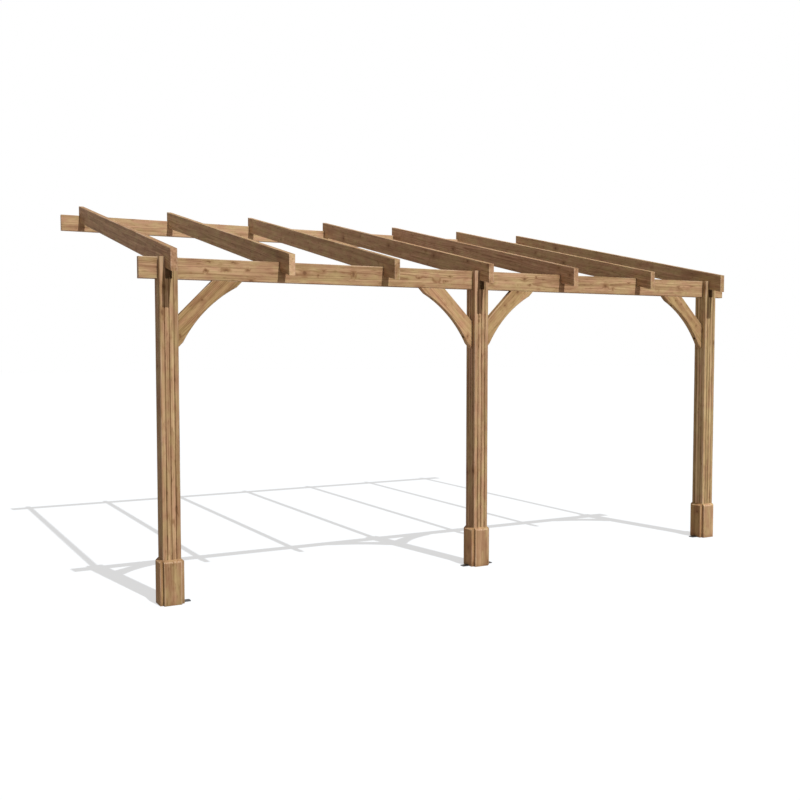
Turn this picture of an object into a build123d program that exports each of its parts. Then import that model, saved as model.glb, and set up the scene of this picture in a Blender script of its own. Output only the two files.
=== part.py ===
from build123d import *

import os
from math import cos, radians, sin, sqrt, tan

# A lean-to garden pergola: forked posts, a front beam, a wall plate and notched rafters.
# Lengths are in millimetres and angles in degrees.
# X runs along the beam, Y towards the wall and Z up. While the pieces are made, the ground is at Z = 0
# and the wall at Y = 0. At the end all of them move down, so that the origin is the middle of the
# wall plate's back face.

# Layout
post_names = ["left", "middle", "right"]
post_spacing = 2470.0  # between post centres
post_reach = 2945.0  # from the wall to the post centres
clear_height = 2187.0  # from the ground to the underside of the front beam
roof_angle = 12.0
rafters_per_bay = 3

# Posts
post_side = 125.0
post_corner_radius = 5.0
groove_count = 3
groove_width = 8.0
groove_depth = 4.0
slot_play = 1.0  # gap on each side of a timber in the forked top

# Front beam and wall plate
beam_overhang = 125.0  # past the outer faces of the outer posts
beam_depth = 145.0
beam_thickness = 45.0
plate_overhang = 125.0  # past the outer faces of the outer posts
plate_depth = 145.0
plate_thickness = 45.0

# Rafters
rafter_depth = 145.0
rafter_thickness = 45.0
rafter_overhang = 135.0  # past the front faces of the posts
birdsmouth_depth = 57.0  # plumb, at the uphill edge of each seat

# Planed edges of beam, wall plate and rafters
eased_edge = 4.0

# Knee braces
brace_width = 150.0
brace_thickness = 45.0
brace_back_leg = 250.0  # from the corner of post and beam to the straight back edge, along either
brace_nose_leg = 42.0  # length of the straight noses, along either
brace_hollow = 40.0  # depth of the curved under edge
brace_eased_edge = 3.0

# Plinth boards round the post feet
plinth_height = 309.0
plinth_thickness = 21.0
plinth_bevel = 19.0
plinth_corner_gap = 1.0  # by which a board stops short of each post corner
plinth_eased_edge = 3.0

# Foot brackets, bent from steel strip
bracket_width = 50.0
bracket_thickness = 5.0
bracket_upright = 120.0
bracket_foot = 75.0  # from the post face to the end of the foot
bracket_bend_radius = 3.0  # inside the bend
bracket_end_radius = 8.0
bracket_play = 0.5
anchor_reach = 52.0  # from the post face to the anchor hole
anchor_hole_radius = 6.5

cut_overrun = 10.0

# Worked out from the dimensions above
quarter_turn = 90
post_count = len(post_names)
post_half = post_side / 2
roof_slope = tan(radians(roof_angle))
frame_width = (post_count - 1) * post_spacing + post_side
beam_length = frame_width + 2 * beam_overhang
plate_length = frame_width + 2 * plate_overhang
beam_top = clear_height + beam_depth
beam_front = -post_reach - beam_thickness / 2
beam_back = -post_reach + beam_thickness / 2
plate_front = -plate_thickness
plate_top = beam_top - roof_slope * beam_back
rafter_front = -post_reach - post_half - rafter_overhang
rafter_plumb = rafter_depth / cos(radians(roof_angle))
rafter_spacing = post_spacing / rafters_per_bay
rafter_count = rafters_per_bay * (post_count - 1) + 1
origin_height = plate_top - plate_depth / 2


def post_x(index):
    """Centre of a post along the beam."""
    return (index - (post_count - 1) / 2) * post_spacing


def rafter_x(index):
    """Centre of a rafter along the beam."""
    return (index - (rafter_count - 1) / 2) * rafter_spacing


def has_bay(index, side):
    """True where a bay opens on that side of a post: -1 is left, 1 is right."""
    return 0 <= index + side < post_count


def post():
    """A square post with half-round grooves, its top cut into four prongs by two crossing slots."""
    groove_radius = (groove_width**2 / 4 + groove_depth**2) / (2 * groove_depth)
    groove_pitch = post_side / (groove_count + 1)
    profile = RectangleRounded(post_side, post_side, post_corner_radius)
    for face in range(4):
        for step in range(1, groove_count + 1):
            centre = Pos(step * groove_pitch - post_half, groove_depth - groove_radius - post_half)
            profile -= Rot(0, 0, face * quarter_turn) * centre * Circle(groove_radius)
    shaft = extrude(profile, beam_top)
    through = post_side + cut_overrun
    slot_height = beam_depth + cut_overrun
    seat = Pos(0, 0, clear_height)
    on_seat = (Align.CENTER, Align.CENTER, Align.MIN)
    beam_slot = Box(through, beam_thickness + 2 * slot_play, slot_height, align=on_seat)
    rafter_slot = Box(rafter_thickness + 2 * slot_play, through, slot_height, align=on_seat)
    return shaft - seat * beam_slot - seat * rafter_slot


def planed_timber(length, thickness, depth):
    """A straight timber along X with eased long edges, centred on its own middle."""
    section = Plane.YZ * RectangleRounded(thickness, depth, min(eased_edge, thickness / 3))
    return extrude(section, length / 2, both=True)


def rafter_underside(y):
    """Height of the rafters' underside at a distance from the wall."""
    return beam_top - birdsmouth_depth + roof_slope * (y - beam_back)


def rafter():
    """A sloping rafter, plumb-cut at both ends and notched over the beam and the wall plate."""
    outline = Polyline(
        (rafter_front, rafter_underside(rafter_front)),
        (beam_front, rafter_underside(beam_front)),
        (beam_front, beam_top),
        (beam_back, beam_top),
        (beam_back, rafter_underside(beam_back)),
        (plate_front, rafter_underside(plate_front)),
        (plate_front, plate_top),
        (0, plate_top),
        (0, rafter_underside(0) + rafter_plumb),
        (rafter_front, rafter_underside(rafter_front) + rafter_plumb),
        close=True,
    )
    solid = extrude(Plane.YZ * make_face(outline), rafter_thickness / 2, both=True)
    down_the_slope = Axis((0, 0, 0), (0, cos(radians(roof_angle)), sin(radians(roof_angle))))
    return fillet(solid.edges().filter_by(down_the_slope), min(eased_edge, rafter_thickness / 3))


def brace():
    """A knee brace to the right of a post, with the corner of post face and beam underside as its origin."""
    toe_leg = brace_back_leg + brace_width * sqrt(2)
    post_nose = (brace_nose_leg, brace_nose_leg - toe_leg)
    beam_nose = (toe_leg - brace_nose_leg, -brace_nose_leg)
    straight = Polyline(
        beam_nose,
        (toe_leg, 0),
        (brace_back_leg, 0),
        (0, -brace_back_leg),
        (0, -toe_leg),
        post_nose,
    )
    hollow = SagittaArc(post_nose, beam_nose, brace_hollow)
    board = extrude(Plane.XZ * make_face([straight, hollow]), brace_thickness / 2, both=True)
    return chamfer(board.edges().filter_by(GeomType.CIRCLE), brace_eased_edge)


def plinth_board(with_bracket):
    """A board on the front face of a post at the origin, bevelled on top, rebated for a bracket."""
    outline = Polyline(
        (0, 0),
        (-plinth_thickness, 0),
        (-plinth_thickness, plinth_height - plinth_bevel),
        (plinth_bevel - plinth_thickness, plinth_height),
        (0, plinth_height),
        close=True,
    )
    half_width = post_half - plinth_corner_gap
    board = extrude(Plane.YZ * make_face(outline), half_width, both=True)
    outer_edges = board.edges().filter_by(Axis.Z).sort_by(Axis.Y)[:2]
    board = fillet(outer_edges, plinth_eased_edge)
    if with_bracket:
        cut_width = bracket_width + 2 * bracket_play
        leg_room = bracket_thickness + bracket_play
        foot_room = bracket_thickness + bracket_bend_radius + bracket_play
        from_post = (Align.CENTER, Align.MAX, Align.MIN)
        board -= Box(cut_width, leg_room, bracket_upright + bracket_play, align=from_post)
        board -= Box(cut_width, plinth_thickness + cut_overrun, foot_room, align=from_post)
    return Pos(0, -post_half, 0) * board


def foot_bracket():
    """A bent steel angle at the front face of a post at the origin, with a hole in its foot."""
    upright = Pos(-bracket_thickness / 2, bracket_upright / 2) * Rectangle(bracket_thickness, bracket_upright)
    foot = Pos(-bracket_foot / 2, bracket_thickness / 2) * Rectangle(bracket_foot, bracket_thickness)
    strip = extrude(Plane.YZ * (upright + foot), bracket_width / 2, both=True)
    along_bend = strip.edges().filter_by(Axis.X)
    inner_bend = along_bend.sort_by_distance((0, -bracket_thickness, bracket_thickness))[0]
    strip = fillet(inner_bend, bracket_bend_radius)
    outer_bend = strip.edges().filter_by(Axis.X).sort_by_distance((0, 0, 0))[0]
    strip = fillet(outer_bend, bracket_bend_radius + bracket_thickness)
    foot_corners = strip.edges().filter_by(Axis.Z).sort_by(Axis.Y)[:2]
    strip = fillet(foot_corners, bracket_end_radius)
    hole = Cylinder(anchor_hole_radius, bracket_thickness + 2 * cut_overrun)
    return Pos(0, -post_half, 0) * (strip - Pos(0, -anchor_reach, 0) * hole)


def post_site(index):
    """Place on the ground under the middle of a post."""
    return Pos(post_x(index), -post_reach, 0)


def side_name(index, side):
    """Name of a piece beside a post: the outer posts have only one such piece."""
    if 0 < index < post_count - 1:
        return post_names[index] + ("_left" if side < 0 else "_right")
    return post_names[index]


def all_pieces():
    """Every piece of the pergola by name, on the ground and against the wall."""
    pieces = {}
    one_post = post()
    one_rafter = rafter()
    right_brace = brace()
    left_brace = mirror(right_brace, Plane.YZ)
    one_bracket = foot_bracket()
    faces = {"front": 0, "right": 1, "back": 2, "left": 3}
    for index in range(post_count):
        site = post_site(index)
        pieces[f"post_{post_names[index]}"] = site * one_post
        sides_in_use = {"left": has_bay(index, -1), "right": has_bay(index, 1)}
        for face, turns in faces.items():
            board = plinth_board(sides_in_use.get(face, False))
            name = f"plinth_{post_names[index]}_{face}"
            pieces[name] = site * Rot(0, 0, turns * quarter_turn) * board
        for side, side_brace in ((-1, left_brace), (1, right_brace)):
            if not has_bay(index, side):
                continue
            corner = Pos(side * post_half, 0, clear_height)
            turn = Rot(0, 0, side * quarter_turn)
            pieces[f"brace_{side_name(index, side)}"] = site * corner * side_brace
            pieces[f"foot_bracket_{side_name(index, side)}"] = site * turn * one_bracket
    beam_place = Pos(0, -post_reach, clear_height + beam_depth / 2)
    plate_place = Pos(0, -plate_thickness / 2, plate_top - plate_depth / 2)
    pieces["front_beam"] = beam_place * planed_timber(beam_length, beam_thickness, beam_depth)
    pieces["wall_plate"] = plate_place * planed_timber(plate_length, plate_thickness, plate_depth)
    for index in range(rafter_count):
        pieces[f"rafter_{index + 1}"] = Pos(rafter_x(index), 0, 0) * one_rafter
    return pieces


os.makedirs("parts", exist_ok=True)
for name, piece in all_pieces().items():
    export_step(Pos(0, 0, -origin_height) * piece, f"parts/{name}.step")
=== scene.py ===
# %% [markdown]
# # A lean-to garden pergola
#
# Three grooved posts carry a front beam, and seven sloping rafters run from that beam to a plate on
# the house wall. Everything is planed softwood with a brown treatment. The CAD model already gives
# the true size and place of every timber, so it is loaded first and never moved. This lesson remakes
# the timbers around it with eased edges, grain that follows each board, and the screws that hold the
# braces.

import bmesh
import bpy
import numpy as np
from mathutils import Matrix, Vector


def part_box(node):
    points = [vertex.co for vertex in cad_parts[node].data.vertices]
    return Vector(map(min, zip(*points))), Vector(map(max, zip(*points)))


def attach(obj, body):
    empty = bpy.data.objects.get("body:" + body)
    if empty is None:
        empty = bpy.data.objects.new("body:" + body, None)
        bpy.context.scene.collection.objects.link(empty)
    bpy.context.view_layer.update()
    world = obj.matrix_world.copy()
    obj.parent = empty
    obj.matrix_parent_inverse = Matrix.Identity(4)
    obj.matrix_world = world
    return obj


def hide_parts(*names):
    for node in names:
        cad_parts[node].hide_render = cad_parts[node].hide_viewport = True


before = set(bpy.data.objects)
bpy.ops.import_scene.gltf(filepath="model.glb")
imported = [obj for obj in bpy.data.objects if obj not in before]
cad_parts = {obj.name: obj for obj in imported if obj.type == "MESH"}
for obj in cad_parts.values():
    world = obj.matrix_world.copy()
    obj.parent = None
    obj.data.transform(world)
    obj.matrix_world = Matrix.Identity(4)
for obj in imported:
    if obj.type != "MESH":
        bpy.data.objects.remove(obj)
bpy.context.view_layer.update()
MM = 0.001

# %% [markdown]
# ## Sizes from the frame
#
# A maker would measure the finished frame before cutting a new board for it. Here the boxes of the
# CAD pieces play that part: they give the ground, the seat in the posts' forks, the slope of the roof
# and so on. Only what a box can't tell, such as the depth of a groove, is written as a number.

# %% Measure the frame
post_low, post_high = np.array(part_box("post_middle"))
beam_low, beam_high = np.array(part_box("front_beam"))
plate_low, plate_high = np.array(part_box("wall_plate"))
rafter_low, rafter_high = np.array(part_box("rafter_4"))

ALONG, INWARDS, UP = np.eye(3)
GROUND = post_low[2]
POST_HALF = (post_high[0] - post_low[0]) / 2
ROOF_SLOPE = (plate_high[2] - beam_high[2]) / (plate_high[1] - beam_high[1])
post_width, roof_angle = 2 * POST_HALF / MM, np.degrees(np.arctan(ROOF_SLOPE))
print(f"post {post_width:.0f} mm square, roof slope {roof_angle:.1f} degrees")

# %% [markdown]
# ## From arrays to a mesh
#
# Nearly every timber here is an outline carried through a few stations, like a board that a saw
# follows and a plane then eases. Blender could extrude and bevel such an outline with modifiers, but
# worked out as arrays the easing can differ from edge to edge: a planed arris is round, while a
# saw-cut end stays crisp.

# %% Carry an outline through stations
def carry(name, rings):
    """A closed mesh from an array of rings: quads join each to the next, flat faces close the ends.

    Seen from where the stations lead to, a ring runs anticlockwise, so that faces look outwards."""
    stations, points, _ = rings.shape
    here = np.arange(stations * points).reshape(stations, points)
    after = np.roll(here, -1, axis=1)
    quads = np.stack([here[:-1], after[:-1], after[1:], here[1:]], axis=-1).reshape(-1, 4)
    ends = [here[0, ::-1].tolist(), here[-1].tolist()]
    mesh = bpy.data.meshes.new(name)
    mesh.from_pydata(rings.reshape(-1, 3), [], quads.tolist() + ends)
    return mesh


def write_number(mesh, name, values):
    """Stores one number for each vertex, which a material can read under that name."""
    spread = np.broadcast_to(values, len(mesh.vertices))
    mesh.attributes.new(name, "FLOAT", "POINT").data.foreach_set("value", spread)


print("ready: carry, write_number")

# %% Draw an outline in
IN_LINE = 1e-9  # keeps the division safe where two edges run on in one line


def inset(outline, distance):
    """Moves every edge of an anticlockwise outline inwards by its own distance.

    A corner goes to where its two moved edges cross: half the sum of both distances along the sum of
    the inward normals, and half their difference along the difference of the normals."""
    edge = np.roll(outline, -1, axis=0) - outline
    edge = edge / np.linalg.norm(edge, axis=1, keepdims=True)
    normal = np.stack([-edge[:, 1], edge[:, 0]], axis=1)
    before = np.roll(normal, 1, axis=0)
    turn = np.sum(normal * before, axis=1)
    last = np.roll(distance, 1, axis=-1)
    shared = (distance + last) / 2 / (1 + turn)
    skewed = (distance - last) / 2 / np.maximum(1 - turn, IN_LINE)
    return outline + shared[..., None] * (normal + before) + skewed[..., None] * (normal - before)


def round_over(depth, radius):
    """How far a rounded arris draws back at a depth below the face: a quarter circle."""
    short = np.clip(radius - depth, 0, None)
    return radius - np.sqrt(np.clip(radius**2 - short**2, 0, None))


print(f"1 mm below the face, a 4 mm arris draws back by {round_over(1.0, 4.0):.2f} mm")

# %% A board with eased edges
WORN_BAND = 5 * MM
BEND_STEPS = 5


def eased_board(name, outline, easing, thickness, middle, right, up):
    """A board whose outline lies in the plane of right and up, both faces eased along every edge.

    The stations go through the thickness, close together where the arris curves: at each one the
    outline is inset by the quarter circle of each edge's own easing. One more station on each face
    and on each side end the worn band: wear is 1 on the arris and fades to 0 beside it."""
    bend = easing.max() * (1 - np.cos(np.linspace(0, np.pi / 2, BEND_STEPS)))
    depth = np.concatenate([[0.0], bend, [bend[-1] + WORN_BAND]])
    from_edge = np.concatenate([[WORN_BAND], np.zeros(len(bend) + 1)])
    wear = np.concatenate([[0.0], np.ones(len(bend)), [0.0]])
    there = np.arange(len(depth))
    and_back = np.concatenate([there, there[::-1]])
    side = np.repeat([-1.0, 1.0], len(depth))
    through = side * (thickness / 2 - depth[and_back])
    flat = inset(outline, round_over(depth[and_back, None], easing) + from_edge[and_back, None])
    out = np.cross(right, up)
    rings = middle + flat[..., :1] * right + flat[..., 1:] * up + through[:, None, None] * out
    mesh = carry(name, rings)
    write_number(mesh, "wear", np.repeat(wear[and_back], len(outline)))
    return mesh


print("an eased board has", 2 * (BEND_STEPS + 2), "stations through its thickness")

# %% [markdown]
# ## Grain that belongs to the board
#
# A board is cut from a log, and its figure is the log's rings sliced by the saw. So each vertex
# stores where it lies in its log: how far along the grain, and how far across from the pith. A
# material that draws rings round the pith then gives long flames on a wide face and arcs on a sawn
# end, and no two boards look alike. Sawn ends drink stain differently, so the faces that look along
# the grain are marked too.

# %% Store the grain
LOG_LENGTH = 40.0
SAWN_END = 0.9  # how nearly a face looks along the grain, as the cosine of the angle
draw = np.random.default_rng(7)


def write_grain(mesh, middle, along, across, pith):
    """Each vertex's place in the log, from the pith: dot products with the log's axes."""
    place = np.empty(len(mesh.vertices) * 3)
    mesh.vertices.foreach_get("co", place)
    log_axes = np.stack([along, across, np.cross(along, across)])
    offset = (place.reshape(-1, 3) - middle) @ log_axes.T
    grain = (offset + pith).ravel()
    mesh.attributes.new("grain", "FLOAT_VECTOR", "POINT").data.foreach_set("vector", grain)
    return offset


def write_ends(mesh, along, tone):
    """Stores the tone of a sawn end on each face that looks along the grain, and 1 on the others."""
    normal = np.empty(len(mesh.polygons) * 3)
    mesh.polygons.foreach_get("normal", normal)
    sawn = np.abs(normal.reshape(-1, 3) @ along) > SAWN_END
    ends = mesh.attributes.new("end_tone", "FLOAT", "FACE")
    ends.data.foreach_set("value", np.where(sawn, tone, 1.0))


def pith_off(across, near, far, either_side=False):
    """Where the pith lies, by lot: so many millimetres across the board and so many off it."""
    sideways = draw.uniform(-across, across)
    side = draw.choice([-1, 1]) if either_side else 1
    return sideways * MM, side * draw.uniform(near, far) * MM


print("ready: write_grain, write_ends, pith_off")

# %% [markdown]
# ## Lighter and darker boards
#
# In any stack of timber some boards are lighter, darker, yellower or pinker, so each has a tone and a
# warmth. The boards that stand out in the photograph have theirs written down, and the others draw
# theirs by lot. A pair of tones runs from one end of a long timber to the other, and three rafters
# have sawn ends with a tone of their own.

# %% Tones of the boards that stand out
TONE_SPREAD, WARMTH_SPREAD = 0.06, 0.15
TONES = {
    "front_beam": (0.92, 1.01), "wall_plate": (1.07, 1.45),
    "rafter_1": (0.81, 0.87), "rafter_2": (0.87, 1.08), "rafter_3": (0.87, 1.17),
    "rafter_4": (0.92, 1.10), "rafter_5": (0.96, 1.15), "rafter_6": (0.96, 1.20),
    "rafter_7": (0.98, 1.19),
    "post_middle": 1.03, "post_right": 1.16,
    "brace_left": 0.82, "brace_middle_left": 1.12, "brace_middle_right": 1.01, "brace_right": 1.06,
    "plinth_left_front": 0.86, "plinth_middle_front": 0.94, "plinth_right_front": 1.12,
    "plinth_left_left": 0.82, "plinth_middle_left": 1.03, "plinth_right_left": 1.06,
    "plinth_left_right": 0.78, "plinth_middle_right": 0.80, "plinth_right_right": 0.80,
}
WARMTH = {
    "front_beam": 0.0, "rafter_1": -0.12, "rafter_2": 0.0,
    "post_middle": -0.05, "post_right": 0.16,
    "brace_left": 0.1, "brace_middle_left": 0.05, "brace_middle_right": 0.1, "brace_right": 0.12,
    "plinth_left_front": 0.0, "plinth_right_front": 0.0,
    "plinth_left_left": 0.0, "plinth_middle_left": 0.0, "plinth_right_left": 0.1,
}
END_TONES = {"rafter_1": 1.16, "rafter_2": 1.56, "rafter_4": 1.15}
print(len(TONES), "boards have a tone written down and", len(WARMTH), "a warmth")

# %% Hand a timber over to the frame
SMOOTH_ANGLE = np.radians(40)


def hand_over(mesh, material, slot, *nodes):
    """Makes the piece, paints it and lets it stand for its CAD nodes. Only sharp turns stay sharp."""
    mesh.shade_smooth()
    mesh.set_sharp_from_angle(angle=SMOOTH_ANGLE)
    piece = bpy.data.objects.new(mesh.name, mesh)
    bpy.context.scene.collection.objects.link(piece)
    mesh.materials.append(material)
    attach(piece, "root")
    if nodes:
        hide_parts(*nodes)
    return piece


def timber(mesh, material, slot, node, middle, along, across, pith):
    """A finished timber: its own stretch of log, its own tone, and the CAD node it stands for."""
    start = np.array([draw.uniform(0, LOG_LENGTH), *pith])
    reach = write_grain(mesh, middle, along, across, start)[:, 0]
    own_tone = 1 + draw.uniform(-TONE_SPREAD, TONE_SPREAD)
    own_warmth = draw.uniform(-WARMTH_SPREAD, WARMTH_SPREAD)
    both_ends = np.broadcast_to(TONES.get(node, own_tone), 2)
    write_number(mesh, "tone", np.interp(reach, (reach.min(), reach.max()), both_ends))
    write_number(mesh, "warmth", WARMTH.get(node, own_warmth))
    write_ends(mesh, along, END_TONES.get(node, 1.0))
    return hand_over(mesh, material, slot, node)


print("ready: hand_over, timber")

# %% [markdown]
# ## The wood as a recipe of nodes
#
# Softwood shows pale spring wood and darker summer wood in turn, fine fibres, knots, and a stain that
# soaked in unevenly. A flat picture of wood would repeat and would not meet at the edges of a board,
# so all of it is worked out in the three dimensions of the log. A material in Blender is a tree of
# small nodes, and a few short helpers keep that tree readable.

# %% Short ways to add nodes
def add(tree, kind, inputs, **settings):
    """A node with its settings, each input either a value or a link from another node's output."""
    made = tree.nodes.new(kind)
    for name, value in settings.items():
        setattr(made, name, value)
    for socket, value in inputs.items():
        if isinstance(value, bpy.types.NodeSocket):
            tree.links.new(value, made.inputs[socket])
        else:
            made.inputs[socket].default_value = value
    return made


def maths(tree, operation, first, second=0.0, third=0.0):
    """One sum on two or three numbers."""
    sockets = {0: first, 1: second, 2: third}
    return add(tree, "ShaderNodeMath", sockets, operation=operation).outputs[0]


def vectors(tree, operation, first, second):
    """One sum on two places or two colours, part by part."""
    return add(tree, "ShaderNodeVectorMath", {0: first, 1: second}, operation=operation).outputs[0]


def length(tree, vector):
    """How long an offset is: the root of the sum of its squared parts."""
    return add(tree, "ShaderNodeVectorMath", {0: vector}, operation="LENGTH").outputs["Value"]


def ramp(tree, value, low, high):
    """Goes smoothly from 0 to 1 as the value goes from low to high."""
    sockets = {"Value": value, "From Min": low, "From Max": high}
    made = add(tree, "ShaderNodeMapRange", sockets, interpolation_type="SMOOTHSTEP")
    return made.outputs["Result"]


def blend(tree, factor, first, second):
    """A mix of two colours."""
    sockets = {0: factor, 6: first, 7: second}
    return add(tree, "ShaderNodeMix", sockets, data_type="RGBA").outputs[2]


print("ready: add, maths, vectors, length, ramp, blend")

# %% Start and end a material
def blank_material(name):
    """A material with an empty tree of nodes."""
    material = bpy.data.materials.new(name)
    material.use_nodes = True
    material.node_tree.nodes.clear()
    return material, material.node_tree


def finished(tree, colour, rough, shine, relief, strength, depth):
    """Ends a tree with one surface: its colour, roughness and shine, and a relief as fine bumps."""
    bumps = {"Strength": strength, "Distance": depth, "Height": relief}
    shader = add(tree, "ShaderNodeBsdfPrincipled", {
        "Base Color": colour, "Roughness": rough, "Specular IOR Level": shine,
        "Normal": add(tree, "ShaderNodeBump", bumps).outputs["Normal"]})
    add(tree, "ShaderNodeOutputMaterial", {"Surface": shader.outputs["BSDF"]})


print("ready: blank_material, finished")

# %% [markdown]
# ## Streaks and blotches
#
# Wood cells are long tubes along the trunk, so nearly everything on a board is stretched that way:
# fibres, streaks, patches that took more stain. One cloudy noise draws all of them, squeezed a little
# along the grain and a lot across it.

# %% Noises along the grain
NOISE_ROUGHNESS = 0.55
GRAIN_NOISES = {  # squeeze along the grain, squeeze across it, detail
    "fibre": (9.0, 480.0, 3.0),
    "fine_streak": (3.0, 110.0, 2.0),
    "streak": (1.2, 34.0, 2.0),
    "blotch": (2.0, 7.0, 3.0),
    "mottle": (8.0, 20.0, 2.0),
    "fleck": (16.0, 75.0, 2.0),
    "resin": (15.0, 26.0, 3.0),
    "wander": (0.6, 6.0, 2.0),
}


def speckle(tree, vector, squeeze, detail):
    """Cloudy noise around 0.5 at a place whose parts are multiplied by the squeeze."""
    sockets = {"Vector": vectors(tree, "MULTIPLY", vector, squeeze), "Scale": 1.0,
               "Detail": detail, "Roughness": NOISE_ROUGHNESS}
    return add(tree, "ShaderNodeTexNoise", sockets).outputs["Fac"]


def grain_noises(tree, grain):
    """Every noise of the table by its name."""
    return {name: speckle(tree, grain, (along, across, across), detail)
            for name, (along, across, detail) in GRAIN_NOISES.items()}


def off_middle(tree, noise, strength, onto):
    """Adds a noise around 0.5 to a number, so that its mean stays."""
    return maths(tree, "MULTIPLY_ADD", maths(tree, "SUBTRACT", noise, 0.5), strength, onto)


print(len(GRAIN_NOISES), "noises:", ", ".join(GRAIN_NOISES))

# %% [markdown]
# ## Knots
#
# A knot is the foot of a branch: a dark heart with a reddish rim, and the rings swell round it. Most
# knots may fall anywhere, so they sit in the cells of a Voronoi pattern, each with a size by lot, and
# many cells have none. The few that catch the eye in the photograph are given by place and size. Both
# kinds are drawn at a place that is shaken by noise, because a perfect oval would look stamped on.

# %% Draw the knots
KNOT_SPREAD = (6.0, 9.0, 9.0)
KNOT_SIZES, KNOT_BELOW, LEAST_KNOT = 0.20, -0.04, 0.002
RAGGED_GRAIN = (14.0, 30 * MM)
RAGGED_PLACE = (45.0, 24 * MM)
HEART_EDGE, RIM_EDGE = (1.1, 0.35), (2.8, 0.9)
FAR_AWAY = 9.0


def shaken(tree, vector, fineness, distance):
    """The same place moved about by three noises, so that what is drawn there gets ragged edges."""
    sockets = {"Vector": vector, "Scale": fineness, "Detail": 2.0}
    noise = add(tree, "ShaderNodeTexNoise", sockets).outputs["Color"]
    shift = vectors(tree, "SUBTRACT", noise, (0.5, 0.5, 0.5))
    return vectors(tree, "ADD", vectors(tree, "MULTIPLY", shift, (distance,) * 3), vector)


def nearest_knot(tree, place, knots):
    """Distance from the nearest knot in units of its size: the length of offset over size."""
    nearest = FAR_AWAY
    for spot, size in knots:
        offset = vectors(tree, "SUBTRACT", place, spot)
        scaled = vectors(tree, "MULTIPLY", offset, tuple(1 / np.array(size)))
        nearest = maths(tree, "MINIMUM", length(tree, scaled), nearest)
    return nearest


def knots_in(tree, grain, place, seen_knots):
    """How much of a knot's heart and of its rim there is: smooth steps of the distance to a knot."""
    spread = vectors(tree, "MULTIPLY", shaken(tree, grain, *RAGGED_GRAIN), KNOT_SPREAD)
    cell = add(tree, "ShaderNodeTexVoronoi", {"Vector": spread, "Scale": 1.0})
    lot = add(tree, "ShaderNodeSeparateColor", {0: cell.outputs["Color"]}).outputs[0]
    size = maths(tree, "MULTIPLY_ADD", lot, KNOT_SIZES, KNOT_BELOW)
    size = maths(tree, "MAXIMUM", size, LEAST_KNOT)
    by_lot = maths(tree, "DIVIDE", cell.outputs["Distance"], size)
    by_hand = nearest_knot(tree, shaken(tree, place, *RAGGED_PLACE), seen_knots)
    nearest = maths(tree, "MINIMUM", by_lot, by_hand)
    return ramp(tree, nearest, *HEART_EDGE), ramp(tree, nearest, *RIM_EDGE)


print("ready: shaken, nearest_knot, knots_in")

# %% [markdown]
# ## Year rings
#
# A tree lays down pale wood in spring and dark wood in summer, and the summer ends at once with the
# first frost. A slice through the log shows that as bands, so the dark share rises slowly within
# each ring and falls fast. The rings are the distance from the pith, and slow noise keeps them from
# being circles.

# %% Draw the year rings
RING_WIDTH = 6.5 * MM
RING_WANDER = 40 * MM
KNOT_BULGE = 4 * MM
SUMMER_COMES, SUMMER_ENDS = (0.4, 0.88), (0.88, 1.0)
RING_PATCHES = (0.2, 0.7)


def summer_bands(tree, grain, noises, rim, strength):
    """How much summer wood shows: the radius, bent by noise and knots, modulo the ring width.

    The bands fade in and out in patches, because the stain hides some of them."""
    radius = length(tree, vectors(tree, "MULTIPLY", grain, (0.0, 1.0, 1.0)))
    radius = maths(tree, "MULTIPLY_ADD", noises["wander"], RING_WANDER, radius)
    radius = maths(tree, "MULTIPLY_ADD", rim, KNOT_BULGE, radius)
    year = maths(tree, "FRACT", maths(tree, "DIVIDE", radius, RING_WIDTH))
    band = maths(tree, "SUBTRACT", ramp(tree, year, *SUMMER_COMES), ramp(tree, year, *SUMMER_ENDS))
    patch = maths(tree, "MULTIPLY", ramp(tree, noises["blotch"], *RING_PATCHES), strength)
    return maths(tree, "MULTIPLY", band, patch)


print(f"rings {RING_WIDTH / MM} mm wide")

# %% [markdown]
# ## Stain, splashes and painted shade
#
# Brown stain is a filter: it takes some red, more green and most blue, and takes more where the wood
# drinks more. So a darker tone is also a warmer one. The feet that the ground splashes are darker.
# The tops that face up and the corners between close surfaces are darkened too, as painted shade.

# %% Let the stain, the splashes and the painted shade in
STAIN_POWERS = (1.0, 1.12, 1.4)
LEAST_LIGHT = 0.08
# painted shade on the tops: how far a face must look up before it starts and before it is full
UPWARD_SHADE_SLOPES = (0.2, 0.7)
SPLASH_HEIGHT, SPLASH_RAGGED, SPLASH_SHARE = 45 * MM, 60 * MM, 0.12
# painted shade in crevices: how near other surfaces count, and the open-sky range it fades over
CREVICE, CREVICE_SAMPLES = 70 * MM, 8
CREVICE_LIGHT, CREVICE_TONE = (0.15, 0.75), 0.62


def soaked_in(tree, wood, amount):
    """Stain as a filter: the amount of light left, to a power that differs by colour."""
    amount = maths(tree, "MAXIMUM", amount, LEAST_LIGHT)
    shares = {i: maths(tree, "POWER", amount, power) for i, power in enumerate(STAIN_POWERS)}
    return vectors(tree, "MULTIPLY", wood, add(tree, "ShaderNodeCombineXYZ", shares).outputs[0])


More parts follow.
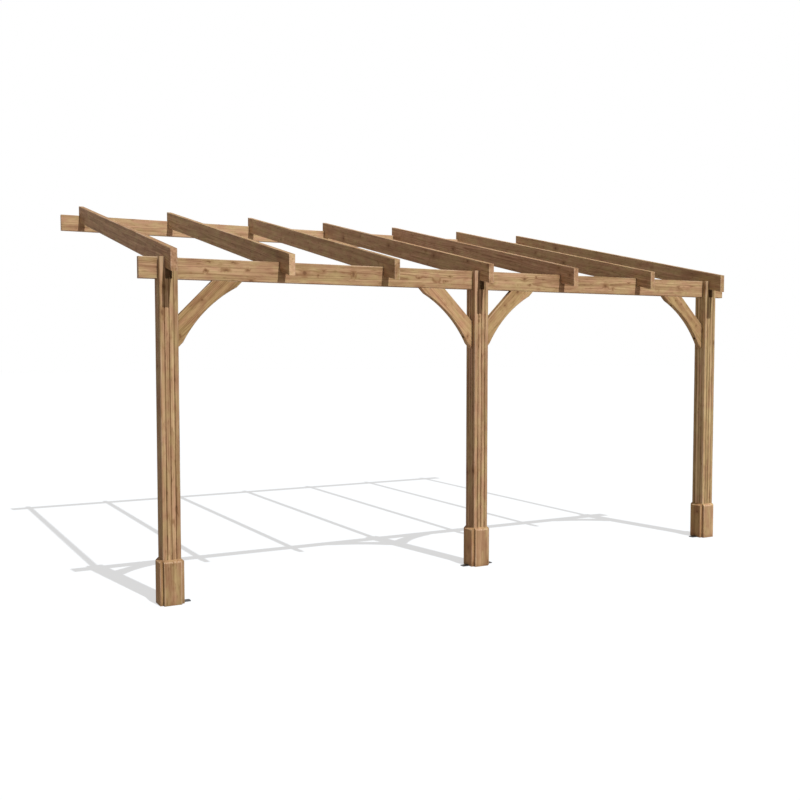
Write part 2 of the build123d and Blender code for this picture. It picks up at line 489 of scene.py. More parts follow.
def splashed_and_top_shaded(tree, place, mottle, top_shade_share):
    """What the painted shade on tops and the splashes leave of the tone: 1 less the share of a top
    and of a splashed foot.
    """
    normal = add(tree, "ShaderNodeNewGeometry", {}).outputs["Normal"]
    level = add(tree, "ShaderNodeSeparateXYZ", {0: normal}).outputs["Z"]
    # painted shade on faces that look up, which dims their sunlit brightness
    upward_shade = maths(tree, "MULTIPLY", ramp(tree, level, *UPWARD_SHADE_SLOPES), top_shade_share)
    height = add(tree, "ShaderNodeSeparateXYZ", {0: place}).outputs["Z"]
    height = off_middle(tree, mottle, SPLASH_RAGGED, height)
    low_down = ramp(tree, height, GROUND + SPLASH_HEIGHT, GROUND)
    splashed = maths(tree, "MULTIPLY", low_down, SPLASH_SHARE)
    return maths(tree, "SUBTRACT", 1.0, maths(tree, "ADD", upward_shade, splashed))


def painted_crevice_shade(tree):
    """Painted shade in crevices: rises from the tone of a crevice to 1 with the share of open sky
    close to the surface.
    """
    sockets = {"Distance": CREVICE}
    nearby = add(tree, "ShaderNodeAmbientOcclusion", sockets, samples=CREVICE_SAMPLES).outputs["AO"]
    open_share = ramp(tree, nearby, *CREVICE_LIGHT)
    return maths(tree, "MULTIPLY_ADD", open_share, 1 - CREVICE_TONE, CREVICE_TONE)


print("ready: soaked_in, washed, painted_crevice_shade")

# %% [markdown]
# ## The stained softwood
#
# Now the parts come together as on a real board: wood with its rings, its tint, the stain with the
# splashes and the painted shade on its tops, then resin, edges rubbed bare, the knots, and painted
# shade in the crevices. The fibres and the hard summer wood also stand up a little, so the surface
# is never quite smooth.

# %% The wood itself
SUMMER_WOOD = (0.25, 0.136, 0.066, 1)
PINKER, YELLOWER = (1.08, 0.965, 1.0, 1), (0.95, 1.03, 0.86, 1)
TINT_MOTTLE, TINT_RANGE = 1.2, (0.2, 0.8)
SHADES = {"fibre": 0.6, "fine_streak": 0.55, "streak": 1.0, "blotch": 0.5, "mottle": 0.7}
FLECK_RANGE, FLECK_SHADE = (0.58, 0.72), -0.25
RESIN, RESIN_RANGE, RESIN_SHARE = (0.25, 0.115, 0.045, 1), (0.57, 0.75), 0.4
BARE_WOOD, BARE_RANGE, BARE_SHARE = (0.58, 0.43, 0.31, 1), (0.42, 0.62), 0.5
KNOT_RIM, RIM_SHARE = (0.25, 0.125, 0.052, 1), 0.45
KNOT_HEART, HEART_SHARE = (0.13, 0.055, 0.022, 1), 0.65
WOOD_ROUGHNESS, FIBRE_ROUGHNESS, WOOD_SHINE = 0.6, 0.25, 0.18
RING_RELIEF, WOOD_RELIEF, RELIEF_DEPTH = 0.6, 0.35, 0.8 * MM


def stained_softwood(name, spring, rings, top_shade_share, seen_knots):
    """Two woods mixed by the rings, times the tint, through the stain, with marks on top."""
    material, tree = blank_material(name)
    grain = add(tree, "ShaderNodeAttribute", {}, attribute_name="grain").outputs["Vector"]
    tone, end_tone, warmth, wear = (
        add(tree, "ShaderNodeAttribute", {}, attribute_name=number).outputs["Fac"]
        for number in ("tone", "end_tone", "warmth", "wear"))
    place = add(tree, "ShaderNodeTexCoord", {}).outputs["Object"]
    noises = grain_noises(tree, grain)
    heart, rim = knots_in(tree, grain, place, seen_knots)
    summer = summer_bands(tree, grain, noises, rim, rings)

    wood = blend(tree, summer, spring, SUMMER_WOOD)
    warm = off_middle(tree, noises["mottle"], TINT_MOTTLE, maths(tree, "ADD", warmth, 0.5))
    tint = blend(tree, ramp(tree, warm, *TINT_RANGE), PINKER, YELLOWER)
    wood = vectors(tree, "MULTIPLY", wood, tint)

    shade = maths(tree, "MULTIPLY", tone, end_tone)
    for noise, strength in SHADES.items():
        shade = off_middle(tree, noises[noise], strength, shade)
    fleck = ramp(tree, noises["fleck"], *FLECK_RANGE)
    shade = maths(tree, "MULTIPLY_ADD", fleck, FLECK_SHADE, shade)
    # splashes at the feet, and painted shade on the tops
    splash_and_shaded_tops = splashed_and_top_shaded(tree, place, noises["mottle"], top_shade_share)
    wood = soaked_in(tree, wood, maths(tree, "MULTIPLY", shade, splash_and_shaded_tops))

    resin = ramp(tree, noises["resin"], *RESIN_RANGE)
    rubbed = maths(tree, "MULTIPLY", wear, ramp(tree, noises["fine_streak"], *BARE_RANGE))
    marks = [(resin, RESIN_SHARE, RESIN), (rubbed, BARE_SHARE, BARE_WOOD),
             (rim, RIM_SHARE, KNOT_RIM), (heart, HEART_SHARE, KNOT_HEART)]
    for mark, share, colour in marks:
        wood = blend(tree, maths(tree, "MULTIPLY", mark, share), wood, colour)
    # painted shade in crevices, where other surfaces stand close
    sockets = {0: wood, "Scale": painted_crevice_shade(tree)}
    wood = add(tree, "ShaderNodeVectorMath", sockets, operation="SCALE").outputs[0]

    rough = maths(tree, "MULTIPLY_ADD", noises["fibre"], FIBRE_ROUGHNESS, WOOD_ROUGHNESS)
    relief = maths(tree, "MULTIPLY_ADD", summer, RING_RELIEF, noises["fibre"])
    finished(tree, wood, rough, WOOD_SHINE, relief, WOOD_RELIEF, RELIEF_DEPTH)
    return material


print(len(SHADES), "noises shade the stain, four marks lie on it")

# %% [markdown]
# ## Knots that show, and five stains
#
# The clear knots on the beam, the braces, the middle post and one plinth board are put where the
# photograph has them, each with its length and height. Not all the wood took the stain alike: the
# braces came out golden. The plinth boards on the left faces, the side in shade, get a deeper and
# redder copy of the plinth stain, as painted shade. So there are five stains from the one recipe.

# %% Knots that show in the photograph
KNOT_REACH = 30 * MM  # into the timber
BEAM_FACE, POST_FACE = beam_low[1], post_low[1]
PLINTH_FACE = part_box("plinth_right_left")[0][0]
BEAM_KNOTS = [  # along and up in metres, length and height in millimetres
    (-2.205, -0.630, 11, 9), (-2.064, -0.621, 24, 8), (-1.904, -0.611, 10, 8),
    (-2.185, -0.567, 20, 7), (-2.010, -0.568, 20, 7), (-1.482, -0.618, 22, 20),
    (-1.376, -0.631, 8, 8), (-1.331, -0.597, 12, 7), (-1.094, -0.613, 14, 22),
    (-0.546, -0.620, 14, 7), (-0.308, -0.639, 12, 6), (-0.267, -0.599, 13, 7),
    (0.486, -0.642, 14, 6), (1.359, -0.650, 12, 8), (1.537, -0.592, 10, 9),
    (2.113, -0.611, 24, 6), (2.281, -0.601, 20, 5)]
BRACE_KNOTS = [
    (-0.103, -1.058, 7, 15), (0.252, -0.811, 12, 12), (2.089, -0.730, 9, 9),
    (2.152, -0.760, 8, 8), (2.337, -0.949, 7, 10), (-2.230, -0.827, 12, 12),
    (-2.387, -1.070, 8, 14)]
POST_KNOTS = [(-0.021, -0.940, 6, 10), (-0.019, -0.904, 5, 6)]


def on_front(knots, face):
    """Places and sizes of knots on a front face."""
    return [((x, face, z), (long * MM, KNOT_REACH, high * MM)) for x, z, long, high in knots]


plinth_knots = [((PLINTH_FACE, -2.968, -2.643), (KNOT_REACH, 11 * MM, 12 * MM))]
print(len(BEAM_KNOTS), "knots on the beam and", len(BRACE_KNOTS), "on the braces")

# %% Five stains
STAINS = {  # spring wood, strength of the rings, painted shade on the tops, knots
    "stained_post_timber": ((0.451, 0.297, 0.170, 1), 0.7, 0.2, on_front(POST_KNOTS, POST_FACE)),
    "stained_frame_timber": ((0.459, 0.303, 0.174, 1), 0.8, 0.3, on_front(BEAM_KNOTS, BEAM_FACE)),
    "stained_brace_timber": ((0.459, 0.287, 0.156, 1), 0.7, 0.3, on_front(BRACE_KNOTS, BEAM_FACE)),
    "stained_plinth_timber": ((0.431, 0.282, 0.159, 1), 0.6, 0.12, plinth_knots),
    # painted shade: a deeper, redder copy of the plinth stain for the boards on the shaded left faces
    "shaded_side_plinth_timber": ((0.445, 0.265, 0.138, 1), 0.6, 0.12, plinth_knots),
}
post_stain, frame_stain, brace_stain, plinth_stain, shaded_side_stain = (
    stained_softwood(name, *recipe) for name, recipe in STAINS.items())
print("stains:", ", ".join(STAINS))

# %% [markdown]
# ## Front beam and wall plate
#
# Both are the same planed timber, 45 by 145 mm. Seen from the front each is a long rectangle, so that
# rectangle is carried through the thickness. The long edges were rounded by the planer, and the ends
# were sawn.

# %% Beam and plate
PLANED_EDGE = 4 * MM
SAWN_EDGE = 0.8 * MM


def long_timber(node, stain):
    """A rectangle along the wall with rounded long edges, standing for one CAD timber."""
    low, high = np.array(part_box(node))
    middle, size = (low + high) / 2, high - low
    corners = np.array([[-1, -1], [1, -1], [1, 1], [-1, 1]]) * (size[0] / 2, size[2] / 2)
    easing = np.array([PLANED_EDGE, SAWN_EDGE, PLANED_EDGE, SAWN_EDGE])
    mesh = eased_board(f"{node}_planed", corners, easing, size[1], middle, ALONG, UP)
    pith = pith_off(20, 25, 60)
    return timber(mesh, stain, "frame_timber", node, middle, ALONG, UP, pith)


for node in ("front_beam", "wall_plate"):
    made = long_timber(node, frame_stain)
    print(made.name, len(made.data.polygons), "faces")

# %% [markdown]
# ## Rafters
#
# A rafter is plumb-cut at both ends and has two birdsmouths, the notches that sit on the beam and on
# the wall plate. Its side view holds all of that, so the side view is the outline, and it is carried
# through 45 mm.

# %% The side view of a rafter
front, wall = rafter_low[1], rafter_high[1]
rafter_thickness = rafter_high[0] - rafter_low[0]
rafter_plumb = rafter_high[2] - rafter_low[2] - ROOF_SLOPE * (wall - front)


def underside(y):
    """Height of the rafters' underside: a straight line from the front end up to the wall."""
    return rafter_low[2] + ROOF_SLOPE * (y - front)


rafter_outline = np.array([
    (front, underside(front)),
    (beam_low[1], underside(beam_low[1])),
    (beam_low[1], beam_high[2]),
    (beam_high[1], beam_high[2]),
    (beam_high[1], underside(beam_high[1])),
    (plate_low[1], underside(plate_low[1])),
    (plate_low[1], plate_high[2]),
    (wall, plate_high[2]),
    (wall, underside(wall) + rafter_plumb),
    (front, underside(front) + rafter_plumb),
])
planed_sides = [0, 4, 8]  # under the tail, under the span, and the top
rafter_easing = np.full(len(rafter_outline), SAWN_EDGE)
rafter_easing[planed_sides] = PLANED_EDGE
print(len(rafter_outline), "points in a rafter, plumb depth", round(rafter_plumb / MM, 1), "mm")

# %% Seven rafters
RAFTERS = 7
up_slope = np.array([0.0, 1.0, ROOF_SLOPE]) / np.hypot(1.0, ROOF_SLOPE)
square_to_slope = np.cross(ALONG, up_slope)
for number in range(1, RAFTERS + 1):
    node = f"rafter_{number}"
    low, high = np.array(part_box(node))
    middle = (low + high) / 2
    mesh = eased_board(f"{node}_planed", rafter_outline, rafter_easing, rafter_thickness,
                       ALONG * middle[0], INWARDS, UP)
    pith = pith_off(30, 25, 60, either_side=True)
    timber(mesh, frame_stain, "rafter_timber", node, middle, up_slope, square_to_slope, pith)
print(RAFTERS, "rafters")

# %% [markdown]
# ## Posts
#
# A post is square with three half-round grooves down every face. Above the seat, two crossing slots
# leave four prongs that grip the beam and a rafter. One face of the post is worked out as a line with
# dips in it and turned four times to close the ring. The ring is carried up to the seat, and each
# prong goes on from its own part of it, so the post is one closed skin.

# %% One grooved face, turned four times
GROOVE_PLACES = np.array([-0.5, 0.0, 0.5]) * POST_HALF
GROOVE_WIDTH, GROOVE_DEPTH, GROOVE_STEPS = 8 * MM, 4 * MM, 9
CORNER_RADIUS, CORNER_STEPS = 5 * MM, 5
SLOT_HALF = 23.5 * MM

dip = np.linspace(0, np.pi, GROOVE_STEPS)
groove = np.stack([-np.cos(dip) * GROOVE_WIDTH / 2, np.sin(dip) * GROOVE_DEPTH], axis=1)
corner = np.linspace(0, np.pi / 2, CORNER_STEPS)[1:-1]
flat = POST_HALF - CORNER_RADIUS
round_corner = (0, 1) + np.stack([np.sin(corner), -np.cos(corner)], axis=1)
face_line = np.concatenate([
    [(-flat, 0.0), (WORN_BAND - flat, 0.0)],
    groove + (GROOVE_PLACES[0], 0),
    [(-SLOT_HALF, 0.0)],
    groove + (GROOVE_PLACES[1], 0),
    [(SLOT_HALF, 0.0)],
    groove + (GROOVE_PLACES[2], 0),
    [(flat - WORN_BAND, 0.0), (flat, 0.0)],
    (flat, 0) + round_corner * CORNER_RADIUS,
])
beside_corner = np.abs(face_line[:, 0]) >= flat
face_wear = np.where(beside_corner, 1.0, 0.0)
# how deep each point lies in a groove, for the painted shade there
face_groove_share = np.where(beside_corner, 0.0, face_line[:, 1] / GROOVE_DEPTH)
angle = np.arange(4) * np.pi / 2
turns = np.stack([np.cos(angle), np.sin(angle), -np.sin(angle), np.cos(angle)], axis=1)
turns = turns.reshape(4, 2, 2)
post_ring = np.einsum("pj,kji->kpi", face_line + (0, -POST_HALF), turns).reshape(-1, 2)
per_face = len(face_line)
slot_start = 2 + len(groove)
slot_end = slot_start + len(groove) + 1
print("post ring of", len(post_ring), "points")

# %% Shaft, seat and prongs in one skin
PRONG_EDGE, PRONG_STEPS = 2 * MM, 4
PRONG_ROUND = 0.6 * PRONG_EDGE


def fork_skin(middle, ground, seat, top):
    """The ring carried from ground to seat, a seat shaped like a plus sign, and four prongs above it.

    Gives the points and faces, and for each point its wear and how deep it lies in a groove."""
    count = len(post_ring)
    inner = np.einsum("j,kji->ki", np.array([SLOT_HALF, -SLOT_HALF]), turns)

    def lifted(points, height):
        level = np.broadcast_to(height, (len(points), 1))
        return np.concatenate([points + middle[:2], level], axis=1)

    here = np.arange(count)
    after = np.roll(here, -1)
    shaft = np.stack([here, after, after + count, here + count], axis=1)
    inner_index = 2 * count + np.arange(4)
    slot = np.arange(slot_start, slot_end + 1)
    slot_floor = np.concatenate([
        np.append(count + k * per_face + slot, inner_index[k]) for k in range(4)])
    points = [lifted(post_ring, ground), lifted(post_ring, seat), lifted(inner, seat)]
    faces = shaft.tolist() + [here[::-1].tolist(), slot_floor.tolist()]
    ring_wear, ring_groove_share = np.tile(face_wear, 4), np.tile(face_groove_share, 4)
    wear = [ring_wear, ring_wear, np.zeros(4)]
    groove_share = [ring_groove_share, ring_groove_share, np.zeros(4)]

    bend = PRONG_EDGE * (1 - np.cos(np.linspace(0, np.pi / 2, PRONG_STEPS)))[::-1]
    made = 2 * count + 4
    for k in range(4):
        skin = (k * per_face + np.arange(slot_end, per_face + slot_start + 1)) % count
        outline = np.concatenate([post_ring[skin], inner[k:k + 1]])
        size = len(outline)
        drawn_in = np.broadcast_to(round_over(bend[:, None], PRONG_ROUND), (PRONG_STEPS, size))
        points += [lifted(ring, top - b) for ring, b in zip(inset(outline, drawn_in), bend)]
        wear.append(np.ones(PRONG_STEPS * size))
        groove_share.append(np.tile(np.append(ring_groove_share[skin], 0.0), PRONG_STEPS))
        new = made + np.arange(PRONG_STEPS * size).reshape(PRONG_STEPS, size)
        levels = np.concatenate([np.append(count + skin, inner_index[k])[None], new])
        beside = np.roll(levels, -1, axis=1)
        sides = np.stack([levels[:-1], beside[:-1], beside[1:], levels[1:]], axis=-1)
        faces += sides.reshape(-1, 4).tolist() + [levels[-1].tolist()]
        made += PRONG_STEPS * size
    return np.concatenate(points), faces, np.concatenate(wear), np.concatenate(groove_share)


print("ready: fork_skin")

# %% [markdown]
# The grooves divide each face into four strips, and they read as four staves, because each took the
# stain a little differently. The grooves between them get painted shade that grows with their
# depth. So the tone of a post goes by stave and falls with the depth of a groove.

# %% Three posts
STAVES = 4
STAVE_SPREAD = 0.05
# painted shade at the bottom of a groove, as a share of the tone
GROOVE_SHADE = 0.5
POST_PITH = 25
FRONT_STAVES = {"post_left": (1.05, 1.0, 0.98, 0.90), "post_middle": (1.05, 0.98, 1.0, 0.90),
                "post_right": (1.08, 0.97, 1.04, 0.90)}
LEFT_STAVES = {"post_right": (1.2, 1.15, 1.4, 0.95)}


def stave_tones(node, across):
    """A tone by stave: by lot, times what the photograph shows on the front and left faces."""
    stave = np.floor((across + POST_HALF) / (2 * POST_HALF / STAVES)).astype(int)
    right, back = np.clip(stave, 0, STAVES - 1).T
    tone = draw.uniform(1 - STAVE_SPREAD, 1 + STAVE_SPREAD, (STAVES, STAVES))[right, back]
    on_left, on_front = (across < WORN_BAND - POST_HALF).T
    tone = tone * np.where(on_front, np.array(FRONT_STAVES[node])[right], 1.0)
    left_staves = np.array(LEFT_STAVES.get(node, np.ones(STAVES)))
    return tone * np.where(on_left & ~on_front, left_staves[back], 1.0)


def forked_post(node, stain):
    """The skin of a post with its grain, and its tone by stave and by the depth in a groove."""
    low, high = np.array(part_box(node))
    middle = (low + high) / 2
    points, faces, wear, groove_share = fork_skin(middle, low[2], beam_low[2], high[2])
    mesh = bpy.data.meshes.new(f"{node}_grooved")
    mesh.from_pydata(points, [], faces)
    start = draw.uniform(0, LOG_LENGTH)
    pith = [draw.uniform(-POST_PITH, POST_PITH) * MM for _ in range(2)]
    across = write_grain(mesh, middle, UP, ALONG, np.array([start, *pith]))[:, 1:]
    # painted shade: darker with the depth in a groove
    groove_shaded = 1 - GROOVE_SHADE * groove_share
    write_number(mesh, "tone", TONES.get(node, 1.0) * stave_tones(node, across) * groove_shaded)
    write_number(mesh, "warmth", WARMTH.get(node, 0.0))
    write_number(mesh, "wear", wear)
    write_ends(mesh, UP, 1.0)
    return hand_over(mesh, stain, "post_timber", node)


for name in ("left", "middle", "right"):
    made = forked_post(f"post_{name}", post_stain)
    print(made.name, len(made.data.vertices), "points")

# %% [markdown]
# ## Knee braces
#
# Each brace is one board between post and beam: a straight back, a hollow curve below, and short
# straight noses. The curve is part of a circle through both noses. A Bezier curve would do too, but
# a circle is what a maker strikes on the board with string and nail.

# %% The brace outline
BRACE_BACK_LEG = 250 * MM
BRACE_NOSE_LEG = 42 * MM
BRACE_HOLLOW = 40 * MM
BRACE_EDGE = 3 * MM
CURVE_STEPS = 33
brace_low, brace_high = np.array(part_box("brace_left"))
brace_toe = brace_high[0] - brace_low[0]
post_nose = np.array([BRACE_NOSE_LEG, BRACE_NOSE_LEG - brace_toe])
beam_nose = np.array([brace_toe - BRACE_NOSE_LEG, -BRACE_NOSE_LEG])


def hollow_curve(share):
    """A point on the circle through both noses: share goes from 0 at the post to 1 at the beam.

    The circle's radius follows from its chord c and hollow h, as (c squared / 4 + h squared) / 2 h.
    The point lies on the chord, drawn to the corner by how far the circle stands off there."""
    chord = beam_nose - post_nose
    chord_length = np.linalg.norm(chord)
    radius = (chord_length**2 / 4 + BRACE_HOLLOW**2) / (2 * BRACE_HOLLOW)
    from_middle = (share - 0.5) * chord_length
    stand_off = np.sqrt(radius**2 - from_middle**2) - (radius - BRACE_HOLLOW)
    to_corner = np.array([-chord[1], chord[0]]) / chord_length
    return post_nose + share[:, None] * chord + stand_off[:, None] * to_corner


brace_outline = np.concatenate([
    [(brace_toe, 0), (BRACE_BACK_LEG, 0), (0, -BRACE_BACK_LEG), (0, -brace_toe)],
    hollow_curve(np.linspace(0, 1, CURVE_STEPS)),
])
sawn_sides = [0, 2, 3, -1]  # against the beam and the post, and the two noses
brace_easing = np.full(len(brace_outline), BRACE_EDGE)
brace_easing[sawn_sides] = SAWN_EDGE
print("brace outline of", len(brace_outline), "points")

# %% [markdown]
# ## Coach screws
#
# Two coach screws hold each brace, one into the post and one up into the beam. Their heads sit at the
# bottom of counterbored holes in the hollow edge, on a washer. A hole changes the skin of the board
# where flat and curved faces meet, so here a Boolean does the work. Washers and hexagon heads are
# profiles turned round the screw's axis.

# %% Turned pieces and drilled holes
ROUND_SIDES, HEAD_SIDES = 24, 6


def turned(name, profile, foot, axis, sides=ROUND_SIDES):
    """A profile of radii and heights turned round an axis: radius times cosine and sine, raised."""
    axis = np.array(axis, dtype=float)
    first = np.cross(axis, INWARDS)
    angle = np.linspace(0, 2 * np.pi, sides, endpoint=False)[:, None]
    circle = np.cos(angle) * first + np.sin(angle) * np.cross(axis, first)
    radius, height = profile[:, 0, None, None], profile[:, 1, None, None]
    return carry(name, foot + radius * circle + height * axis)


def drilled(mesh, *drills):
    """The board with every drill's shape taken out of it."""
    board = bpy.data.objects.new("board", mesh)
    tools = [bpy.data.objects.new("drill", drill) for drill in drills]
    for thing in (board, *tools):
        bpy.context.scene.collection.objects.link(thing)
    for tool in tools:
        hole = board.modifiers.new("hole", "BOOLEAN")
        hole.operation = "DIFFERENCE"
        hole.solver = "EXACT"
        hole.object = tool
    evaluated = board.evaluated_get(bpy.context.evaluated_depsgraph_get())
    result = bpy.data.meshes.new_from_object(evaluated)
    name = mesh.name
    for thing in (board, *tools):
        bpy.data.meshes.remove(thing.data)
    result.name = name
    return result


print("ready: turned, drilled")

# %% [markdown]
# ## Paint on steel
#
# Brackets and screws are steel with a dark coat. One flat colour would do from afar, but close by
# such a coat is dusty in clouds and scuffed to the metal in specks. Two noises lay both over it.

# %% Paint on steel
DUST, DUST_SHARE = (0.20, 0.16, 0.12, 1), 0.2
SCUFF_SHARE = 0.7
CLOUDS, SCUFFS = (70.0, 70.0, 70.0), (420.0, 420.0, 420.0)
CLOUD_RANGE, SCUFF_RANGE = (0.5, 0.8), (0.62, 0.7)
PAINT_ROUGHNESS, CLOUD_ROUGHNESS, PAINT_SHINE = 0.25, 0.4, 0.5
PAINT_RELIEF, PAINT_DEPTH = 0.2, 0.4 * MM


def worn_paint(name, paint, bare):
    """Satin paint mixed with dust by a cloudy noise and with bare metal by a fine one."""
    material, tree = blank_material(name)
    place = add(tree, "ShaderNodeTexCoord", {}).outputs["Object"]
    cloud = speckle(tree, place, CLOUDS, 3.0)
    scuff = speckle(tree, place, SCUFFS, 4.0)
    dusty = maths(tree, "MULTIPLY", ramp(tree, cloud, *CLOUD_RANGE), DUST_SHARE)
    scuffed = maths(tree, "MULTIPLY", ramp(tree, scuff, *SCUFF_RANGE), SCUFF_SHARE)
    coat = blend(tree, scuffed, blend(tree, dusty, paint, DUST), bare)
    rough = maths(tree, "MULTIPLY_ADD", cloud, CLOUD_ROUGHNESS, PAINT_ROUGHNESS)
    finished(tree, coat, rough, PAINT_SHINE, scuff, PAINT_RELIEF, PAINT_DEPTH)
    return material


bracket_paint = worn_paint("black_bracket_paint", (0.012, 0.0115, 0.011, 1), (0.10, 0.095, 0.09, 1))
screw_coat = worn_paint("brown_screw_coat", (0.10, 0.075, 0.05, 1), (0.30, 0.28, 0.25, 1))
print("paints:", bracket_paint.name, screw_coat.name)

# %% [markdown]
# ## Four braces
#
# A brace that points left is the same board turned over. Mirroring the outline also turns its
# direction round, so the order of its points is reversed again to keep its faces outwards. The grain
# runs along the straight back.

# %% Four braces, drilled and screwed
HOLE_RADIUS, HOLE_DEPTH, DRILL_REACH = 11.5 * MM, 26 * MM, 80 * MM
LOW_HOLE, HIGH_HOLE = 0.107, 0.869  # as shares of the hollow curve
DRILL = np.array([(HOLE_RADIUS, 0.0), (HOLE_RADIUS, DRILL_REACH)])
WASHER = np.array([(10.5, 0.0), (10.5, 1.6), (10.1, 2.0), (4.0, 2.0)]) * MM
SCREW_HEAD = np.array([(8.6, 2.0), (8.6, 6.6), (7.6, 7.6), (3.0, 7.6)]) * MM
brace_sides = {"left": 1, "middle_left": -1, "middle_right": 1, "right": -1}
for name, side in brace_sides.items():
    node = f"brace_{name}"
    low, high = np.array(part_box(node))
    middle, thickness = (low + high) / 2, high[1] - low[1]
    flip = np.array([side, 1])
    outline, easing, seat = brace_outline * flip, brace_easing, low[0]
    if side < 0:
        outline, easing, seat = outline[::-1], np.roll(easing[::-1], -1), high[0]
    head = np.array([seat, middle[1], high[2]])
    mesh = eased_board(f"{node}_shaped", outline, easing, thickness, head, ALONG, UP)

    mouths = hollow_curve(np.array([LOW_HOLE, HIGH_HOLE])) * flip
    outwards = np.array([side * ALONG, -UP])
    floors = head + mouths[:, :1] * ALONG + mouths[:, 1:] * UP - HOLE_DEPTH * outwards
    holes = [turned("drill", DRILL, foot, axis) for foot, axis in zip(floors, outwards)]
    mesh = drilled(mesh, *holes)

    back_line = np.array([side, 0.0, 1.0]) / np.sqrt(2)
    across_board = np.cross(back_line, INWARDS)
    pith = pith_off(40, 30, 70)
    timber(mesh, brace_stain, "brace_timber", node, middle, back_line, across_board, pith)
    for end, foot, axis in zip(("low", "high"), floors, outwards):
        washer = turned(f"{node}_{end}_washer", WASHER, foot, axis)
        hand_over(washer, screw_coat, "bracket_steel")
        screw = turned(f"{node}_{end}_screw", SCREW_HEAD, foot, axis, HEAD_SIDES)
        hand_over(screw, screw_coat, "bracket_steel")
print(len(brace_sides), "braces, each with two coach screws")

# %% [markdown]
# ## Plinth boards and foot brackets
#
# Four boards box in the foot of each post, one on each face, and their upper edge is bevelled so that
# rain runs off. On the side of a brace the board also hides a bent steel bracket, so it is rebated
# behind for the bracket's leg and cut out below for its foot. All of that is one outline whose notch
# grows taller towards the back, carried from the back of the board to its face. Where the notch has
# no second step its points coincide, and welding joins them.

# %% Rings through a plinth board
PLINTH_BEVEL = 19 * MM
PLINTH_EDGE = 6 * MM
RIDGE = 2.5 * MM
NOTCH_HALF = 25.5 * MM
LEG_ROOM = 5.5 * MM
LEG_NOTCH = 120.5 * MM
FOOT_NOTCH = 8.5 * MM
NEAR_FACE = np.array([8.0, 5.0, 3.5, 2.4, 1.5, 0.8, 0.3, 0.0, 0.0]) * MM
NEAR_BACK = np.array([0.0, 0.7, 1.6, 2.6, 4.0]) * MM


def bevelled(depth):
    """How far the top draws back below the outer face: a straight bevel with both ridges rubbed."""
    straight = PLINTH_BEVEL - depth
    upper = (straight + np.hypot(straight, RIDGE)) / 2
    return upper + RIDGE / 2 * np.exp(-2 * depth / RIDGE)


def plinth_rings(half_width, height, thickness, notched):
    """Outlines from the back to the face: how far each point lies to the right, up and out."""
    depth = np.concatenate([thickness - NEAR_BACK, np.full(2, thickness - LEG_ROOM), NEAR_FACE])
    on_face = np.zeros(len(depth))
    on_face[-1] = WORN_BAND
    behind = np.arange(len(depth)) <= len(NEAR_BACK)
    wide = half_width - round_over(depth, PLINTH_EDGE) - on_face
    top = height - bevelled(depth) - on_face
    notch, foot = NOTCH_HALF + on_face, FOOT_NOTCH + on_face
    roof = np.where(behind, LEG_NOTCH, foot)
    right, up = [-wide, wide, wide, -wide], [on_face, on_face, top, top]
    if notched:
        right[1:1] = [-notch, -notch, -notch, notch, notch, notch]
        up[1:1] = [on_face, foot, roof, roof, foot, on_face]
    out = np.broadcast_to(thickness - depth, (len(right), len(depth)))
    wear = np.where(depth < PLINTH_EDGE, 1.0, 0.0)
    wear[-1] = 0.0
    return np.stack([right, up, out], axis=-1).swapaxes(0, 1), wear


print("a plinth board has", len(NEAR_BACK) + 2 + len(NEAR_FACE), "stations from back to face")

# %% Twelve plinth boards
WELD = 0.001 * MM
outward = {"front": -INWARDS, "right": ALONG, "back": INWARDS, "left": -ALONG}
with_bracket = ("plinth_left_right", "plinth_middle_left", "plinth_middle_right", "plinth_right_left")


def welded(mesh):
    """Makes points in the same place one, which also drops the faces that had no area."""
    work = bmesh.new()
    work.from_mesh(mesh)
    bmesh.ops.remove_doubles(work, verts=work.verts, dist=WELD)
    work.to_mesh(mesh)
    work.free()


for name in ("left", "middle", "right"):
    for face, out in outward.items():
        node = f"plinth_{name}_{face}"
        low, high = np.array(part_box(node))
        middle, size = (low + high) / 2, high - low
        sideways = np.cross(UP, out)
        half_width, thickness = abs(size @ sideways) / 2, abs(size @ out)
        rings, wear = plinth_rings(half_width, size[2], thickness, node in with_bracket)
        back_foot = middle - out * thickness / 2 - UP * size[2] / 2
        mesh = carry(f"{node}_bevelled", back_foot + rings @ np.stack([sideways, UP, out]))
        write_number(mesh, "wear", np.repeat(wear, rings.shape[1]))
        welded(mesh)
        # painted shade: the boards on the shaded left faces take the deeper, redder copy of the stain
        stain = shaded_side_stain if face == "left" else plinth_stain
        timber(mesh, stain, "plinth_timber", node, middle, UP, sideways, pith_off(30, 25, 60))
print("12 plinth boards,", len(with_bracket), "of them cut out for a bracket")

# %% [markdown]
# The brackets are simple bent strips, so the CAD shape is right as it is. They only get their paint.

# %% Foot brackets
for name in brace_sides:
    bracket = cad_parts[f"foot_bracket_{name}"]
    bracket.material_slots[0].material = bracket_paint
print("painted", len(brace_sides), "brackets")

# %% [markdown]
# ## Camera
#
# The photograph was taken from standing eye height, to the left of the pergola. The eye's place, its
# aim and its lens come from fitting a camera to the edges and corners of the timbers.

# %% Camera
EYE = (-4.18759, -9.38314, -1.15475)
EYE_TURN = 28.4799
EYE_TILT = -3.0588
SENSOR, LENS = 36, 43.4617
FAR_END = 500
camera = bpy.data.objects.new("camera", bpy.data.cameras.new("camera"))
camera.location = EYE
camera.rotation_euler = np.radians([90 + EYE_TILT, 0, -EYE_TURN])
camera.data.sensor_width = SENSOR
camera.data.lens = LENS
camera.data.clip_end = FAR_END
bpy.context.scene.collection.objects.link(camera)
bpy.context.scene.camera = camera
print(f"camera {(EYE[2] - GROUND) / MM:.0f} mm above the ground")

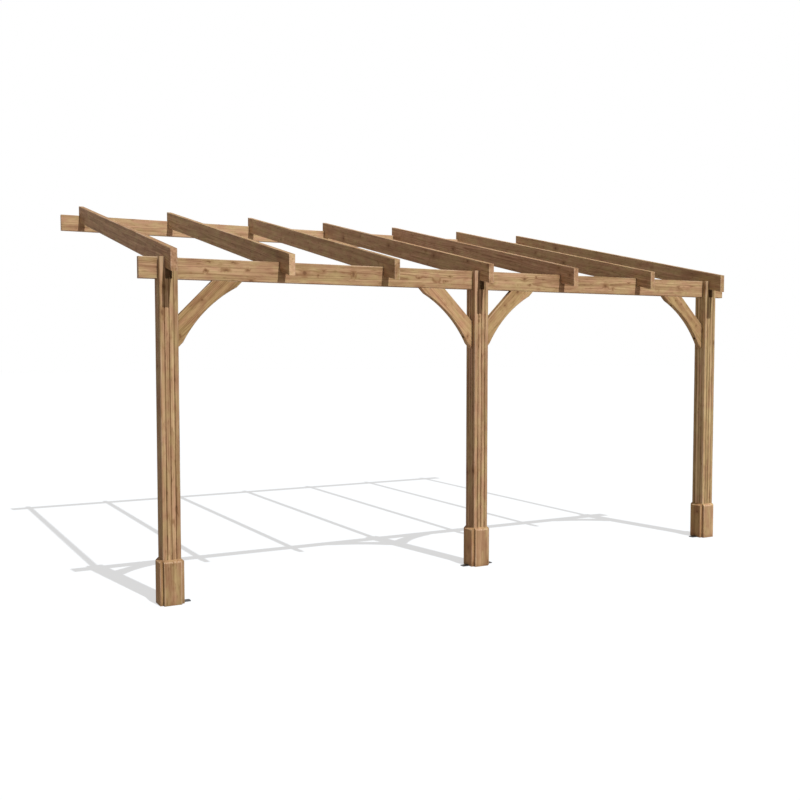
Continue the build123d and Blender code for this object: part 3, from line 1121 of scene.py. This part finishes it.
# %% [markdown]
# ## Floor
#
# The floor is a middling grey that also glows for the camera alone, so that it looks white where the
# sun falls and light grey in the shadow, and throws no extra light on the timber. What it does throw
# back on the shaded sides is a little warm, as from dry ground.

# %% Floor
FLOOR_REACH = 60.0
FLOOR_GLOW = 0.622
SEEN_FLOOR = (0.260, 0.275, 0.291, 1)
WARM_GROUND = (0.284, 0.245, 0.222, 1)


def seen_directly(tree):
    """1 for rays from the camera, a mirror or a clear body, 0 for light on its way to timber."""
    ray = add(tree, "ShaderNodeLightPath", {}).outputs
    seen = maths(tree, "ADD", ray["Is Camera Ray"], ray["Is Glossy Ray"])
    return maths(tree, "MINIMUM", maths(tree, "ADD", seen, ray["Is Transmission Ray"]), 1.0)


square = np.array([[-1, -1, 0], [1, -1, 0], [1, 1, 0], [-1, 1, 0]])
floor_mesh = bpy.data.meshes.new("floor")
floor_mesh.from_pydata(square * FLOOR_REACH + (0, 0, GROUND), [], [(0, 1, 2, 3)])
floor = bpy.data.objects.new("floor", floor_mesh)
bpy.context.scene.collection.objects.link(floor)

pale_floor, tree = blank_material("pale_floor")
seen = seen_directly(tree)
matt = add(tree, "ShaderNodeBsdfDiffuse", {"Color": blend(tree, seen, WARM_GROUND, SEEN_FLOOR)})
glow = add(tree, "ShaderNodeEmission", {"Strength": maths(tree, "MULTIPLY", seen, FLOOR_GLOW)})
both = add(tree, "ShaderNodeAddShader", {0: matt.outputs[0], 1: glow.outputs[0]})
add(tree, "ShaderNodeOutputMaterial", {"Surface": both.outputs[0]})
floor_mesh.materials.append(pale_floor)
print("floor at", round(GROUND, 4), "m")

# %% [markdown]
# ## Light
#
# One sun from the front gives the crisp shadow behind the pergola. Its direction was found from where
# the posts' shadows end. A pale even surround keeps the shaded sides readable, and the camera sees
# that surround as plain white.

# %% Sun and surround
SUN_ENERGY = 4.3
SUN_WIDTH = np.radians(0.4)
SUNLIGHT = Vector((-0.09909, 0.58226, -1.0))
SURROUND, SURROUND_STRENGTH = (1.0, 0.93, 0.88, 1), 0.30
WHITE = (1, 1, 1, 1)
bpy.context.scene.view_settings.view_transform = "Standard"

sun = bpy.data.objects.new("sun", bpy.data.lights.new("sun", "SUN"))
sun.data.energy = SUN_ENERGY
sun.data.angle = SUN_WIDTH
sun.rotation_mode = "QUATERNION"
sun.rotation_quaternion = SUNLIGHT.to_track_quat("-Z", "Y")
bpy.context.scene.collection.objects.link(sun)

world = bpy.data.worlds.new("surround")
bpy.context.scene.world = world
world.use_nodes = True
tree = world.node_tree
tree.nodes.clear()
even = add(tree, "ShaderNodeBackground", {"Color": SURROUND, "Strength": SURROUND_STRENGTH})
white = add(tree, "ShaderNodeBackground", {"Color": WHITE, "Strength": 1.0})
shown = {0: seen_directly(tree), 1: even.outputs[0], 2: white.outputs[0]}
mixed = add(tree, "ShaderNodeMixShader", shown)
add(tree, "ShaderNodeOutputWorld", {"Surface": mixed.outputs[0]})
print("one sun and an even surround")
